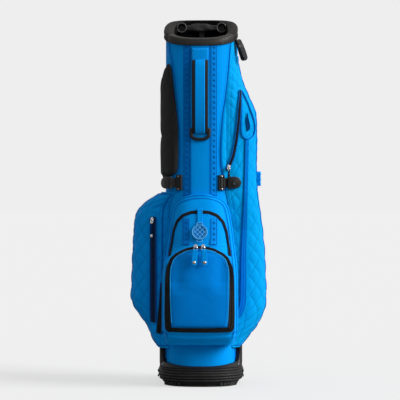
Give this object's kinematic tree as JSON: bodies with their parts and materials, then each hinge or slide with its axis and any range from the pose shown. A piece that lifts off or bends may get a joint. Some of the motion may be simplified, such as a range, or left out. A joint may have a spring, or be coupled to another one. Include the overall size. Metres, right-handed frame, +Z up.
{
  "type": "golf stand bag",
  "caption": "Upright golf stand bag: oval fabric tube with slanted cuff, quilted side pockets, zipped front pockets, folding rear legs worked by a base treadle",
  "frame": {"origin": "centre of the flat sole that the bag stands on, mount standing_face", "axes": "+Z up along the tube to the mouth; -Y is the front, with the ball pocket; +X is the viewer's right seen from the front"},
  "size_m": [0.3243, 0.3033, 0.8889],
  "materials": {
    "blue_fabric": "coated bag fabric, satin",
    "black_mesh": "knitted spacer mesh, matte",
    "black_webbing": "woven webbing, matte",
    "black_plastic": "fine moulded grain",
    "cuff_leather": "grained synthetic leather, satin",
    "rubber": "moulded, matte",
    "zip_tape": "coated zip tape, semi-gloss",
    "zip_metal": "polished",
    "lining": "plain lining",
    "aluminium": "satin",
    "steel": "drawn"
  },
  "bodies": {
    "bag": {"ball_pocket_panel": "blue_fabric", "ball_pocket_zip": "zip_tape", "base_boot": "rubber", "base_outsole": "rubber", "body_shell": "blue_fabric", "cuff": "cuff_leather", "cuff_divider": "black_webbing", "front_handle": "blue_fabric", "front_pocket": "blue_fabric", "grip_boss_left": "black_plastic", "grip_boss_right": "black_plastic", "handle_patch": "blue_fabric", "handle_ring": "black_plastic", "left_clip_bar": "black_plastic", "left_pocket": "blue_fabric", "left_pocket_zip": "zip_tape", "leg_bracket": "black_plastic", "leg_pin_left": "steel", "leg_pin_right": "steel", "long_dividers": "lining", "right_clip_bar": "black_plastic", "right_pocket": "blue_fabric", "right_pocket_zip": "zip_tape", "shoulder_pad": "black_mesh", "stay_left": "aluminium", "stay_rear": "aluminium", "stay_right": "aluminium", "top_grip_bar": "black_webbing", "towel_tab": "blue_fabric", "treadle_pin": "steel", "valuables_panel": "blue_fabric", "valuables_zip": "zip_tape"},
    "left_leg": {"leg_head_left": "black_plastic", "leg_tube_left": "aluminium", "leg_foot_left": "rubber", "leg_clamp_left": "black_plastic"},
    "right_leg": {"leg_head_right": "black_plastic", "leg_tube_right": "aluminium", "leg_foot_right": "rubber", "leg_clamp_right": "black_plastic"},
    "actuator": {"actuator_block": "black_plastic"},
    "left_rod": {"push_rod_left": "steel"},
    "right_rod": {"push_rod_right": "steel"},
    "foot_treadle": {"treadle": "black_plastic"},
    "left_ball_slider": {"ball_slider_left": "zip_metal"},
    "left_ball_pull": {"ball_pull_left": "blue_fabric"},
    "right_ball_slider": {"ball_slider_right": "zip_metal"},
    "right_ball_pull": {"ball_pull_right": "blue_fabric"},
    "badge": {"badge_strap": "blue_fabric", "badge_medallion": "blue_fabric"},
    "left_zip_slider": {"left_slider": "zip_metal"},
    "left_zip_pull": {"left_pull": "zip_metal"},
    "right_zip_slider": {"right_slider": "zip_metal"},
    "right_zip_pull": {"right_pull": "black_webbing"},
    "left_clip": {"left_clip_tab": "black_plastic"},
    "right_clip": {"right_clip_tab": "black_plastic", "right_clip_button": "black_plastic"},
    "cuff_loop": {"strap_loop": "black_webbing"}
  },
  "joints": [
    {"name": "leg_fold", "type": "hinge", "parent": "bag", "child": "left_leg", "pos_m": [-0.048, 0.116, 0.828], "axis": [0.9063, 0.4226, 0], "range_deg": [0, 32]},
    {"name": "right_leg_fold", "type": "hinge", "parent": "bag", "child": "right_leg", "pos_m": [0.048, 0.116, 0.828], "axis": [0.9063, -0.4226, 0], "range_deg": [0, 32]},
    {"name": "actuator_lift", "type": "slide", "parent": "bag", "child": "actuator", "axis": [0, 0, 1], "range_m": [0, 0.0144]},
    {"name": "left_rod_swing", "type": "hinge", "parent": "actuator", "child": "left_rod", "pos_m": [-0.028, 0.1348, 0.03], "axis": [-0.9063, -0.4226, 0], "range_deg": [0, 3.63]},
    {"name": "right_rod_swing", "type": "hinge", "parent": "actuator", "child": "right_rod", "pos_m": [0.028, 0.1348, 0.03], "axis": [-0.9063, 0.4226, 0], "range_deg": [0, 3.63]},
    {"name": "treadle_tip", "type": "hinge", "parent": "bag", "child": "foot_treadle", "pos_m": [0, 0.1045, 0.005], "axis": [1, 0, 0], "range_deg": [0, 33.6]},
    {"name": "left_ball_slider_run", "type": "hinge", "parent": "bag", "child": "left_ball_slider", "pos_m": [-0.00969, -0.10156, 0.2895], "axis": [0.1144, -0.6796, -0.7246], "range_deg": [0, 26]},
    {"name": "left_ball_pull_swing", "type": "hinge", "parent": "left_ball_slider", "child": "left_ball_pull", "pos_m": [-0.0088, -0.16311, 0.3335], "axis": [-1, 0, 0], "range_deg": [0, 120]},
    {"name": "right_ball_slider_run", "type": "hinge", "parent": "bag", "child": "right_ball_slider", "pos_m": [0.00969, -0.10156, 0.2895], "axis": [0.1144, 0.6796, 0.7246], "range_deg": [0, 26]},
    {"name": "right_ball_pull_swing", "type": "hinge", "parent": "right_ball_slider", "child": "right_ball_pull", "pos_m": [0.0088, -0.16311, 0.3335], "axis": [-1, 0, 0], "range_deg": [0, 120]},
    {"name": "badge_swing", "type": "hinge", "parent": "bag", "child": "badge", "pos_m": [0, -0.11829, 0.4235], "axis": [-1, 0, 0], "range_deg": [0, 100]},
    {"name": "left_slider_run", "type": "slide", "parent": "bag", "child": "left_zip_slider", "axis": [0, 0, -1], "range_m": [0, 0.2]},
    {"name": "left_pull_swing", "type": "hinge", "parent": "left_zip_slider", "child": "left_zip_pull", "pos_m": [-0.1167, -0.06589, 0.394], "axis": [-0.9573, 0.289, 0], "range_deg": [0, 150]},
    {"name": "right_slider_run", "type": "hinge", "parent": "bag", "child": "right_zip_slider", "pos_m": [-0.07226, -0.09623, 0.59746], "axis": [0.0899, -0.9955, 0.031], "range_deg": [0, 24]},
    {"name": "right_pull_swing", "type": "hinge", "parent": "right_zip_slider", "child": "right_zip_pull", "pos_m": [0.06816, -0.09022, 0.519], "axis": [-0.9943, -0.1064, 0], "range_deg": [0, 150]},
    {"name": "left_clip_swing", "type": "hinge", "parent": "bag", "child": "left_clip", "pos_m": [-0.06858, -0.08761, 0.4835], "axis": [0, 0, 1], "range_deg": [0, 60]},
    {"name": "right_clip_swing", "type": "hinge", "parent": "bag", "child": "right_clip", "pos_m": [0.0654, -0.08266, 0.4835], "axis": [0, 0, -1], "range_deg": [0, 30]},
    {"name": "cuff_loop_swing", "type": "hinge", "parent": "bag", "child": "cuff_loop", "pos_m": [0.0895, -0.042, 0.824], "axis": [0, -1, 0], "range_deg": [0, 80]}
  ],
  "couplings": [
    {"joint": "right_leg_fold", "follows": "leg_fold", "ratio": 1},
    {"joint": "actuator_lift", "follows": "leg_fold", "m_per_rad": 0.02569},
    {"joint": "left_rod_swing", "follows": "leg_fold", "ratio": 0.1131},
    {"joint": "right_rod_swing", "follows": "leg_fold", "ratio": 0.1131},
    {"joint": "treadle_tip", "follows": "leg_fold", "ratio": 1.05}
  ]
}
